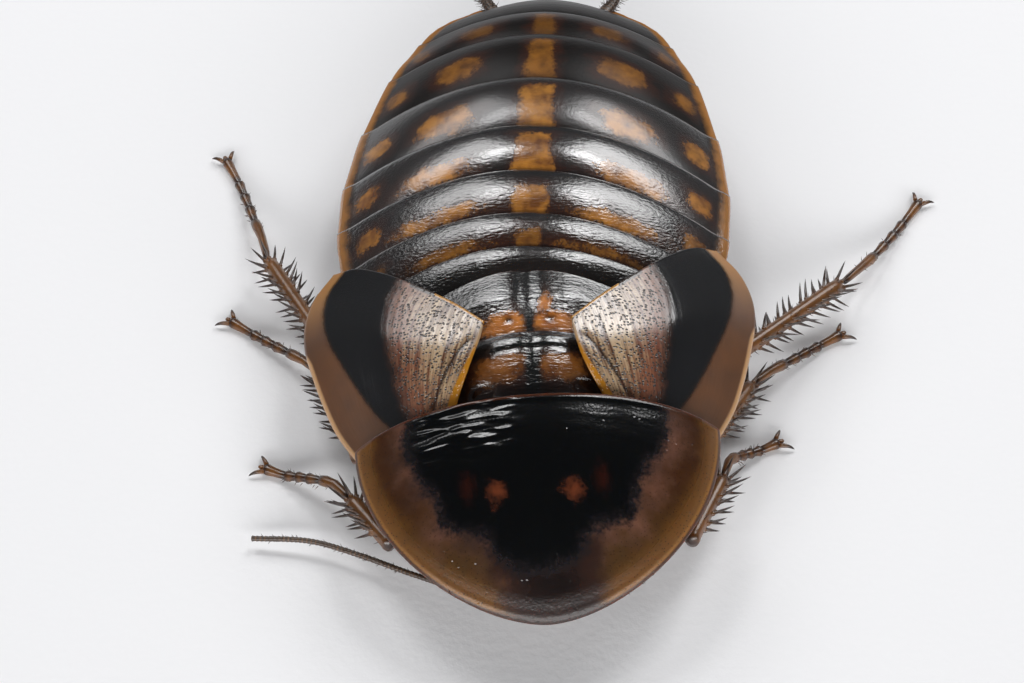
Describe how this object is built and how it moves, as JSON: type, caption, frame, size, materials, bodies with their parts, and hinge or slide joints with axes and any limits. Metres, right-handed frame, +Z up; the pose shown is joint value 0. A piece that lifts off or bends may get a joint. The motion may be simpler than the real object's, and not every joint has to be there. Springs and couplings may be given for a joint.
{
  "type": "dubia roach, adult female, still life-size model",
  "caption": "Adult female dubia roach at rest, head tucked under its broad shield, short wing covers spread.",
  "frame": {"origin": "on the floor, under the middle of the whole animal's outline", "axes": "+Z up from the floor, -Y towards the head, +X towards the animal's left"},
  "size_m": [0.0408, 0.0432, 0.009],
  "materials": {
    "body_cuticle": "glossy black-brown cuticle with orange spots",
    "shield_cuticle": "glossy black cuticle with a translucent amber margin",
    "wing_cuticle": "veined satin brown cuticle with an amber margin",
    "leg_cuticle": "satin amber-brown cuticle",
    "eye_lens": "polished dark compound eye"
  },
  "bodies": {
    "root": {"pronotum": "shield_cuticle", "thorax": "body_cuticle", "abdomen": "body_cuticle", "tegmen_right": "wing_cuticle", "tegmen_left": "wing_cuticle", "head": "body_cuticle", "mouthparts": "leg_cuticle", "eye_right": "eye_lens", "eye_left": "eye_lens", "palp_right": "leg_cuticle", "palp_left": "leg_cuticle", "antenna_right": "leg_cuticle", "antenna_left": "leg_cuticle", "cercus_right": "leg_cuticle", "cercus_left": "leg_cuticle", "leg_right_fore_coxa": "leg_cuticle", "leg_right_fore_femur": "leg_cuticle", "leg_right_fore_tibia": "leg_cuticle", "leg_right_fore_tarsus": "leg_cuticle", "leg_right_mid_coxa": "leg_cuticle", "leg_right_mid_femur": "leg_cuticle", "leg_right_mid_tibia": "leg_cuticle", "leg_right_mid_tarsus": "leg_cuticle", "leg_right_hind_coxa": "leg_cuticle", "leg_right_hind_femur": "leg_cuticle", "leg_right_hind_tibia": "leg_cuticle", "leg_right_hind_tarsus": "leg_cuticle", "leg_left_fore_coxa": "leg_cuticle", "leg_left_fore_femur": "leg_cuticle", "leg_left_fore_tibia": "leg_cuticle", "leg_left_fore_tarsus": "leg_cuticle", "leg_left_mid_coxa": "leg_cuticle", "leg_left_mid_femur": "leg_cuticle", "leg_left_mid_tibia": "leg_cuticle", "leg_left_mid_tarsus": "leg_cuticle", "leg_left_hind_coxa": "leg_cuticle", "leg_left_hind_femur": "leg_cuticle", "leg_left_hind_tibia": "leg_cuticle", "leg_left_hind_tarsus": "leg_cuticle"}
  },
  "joints": []
}
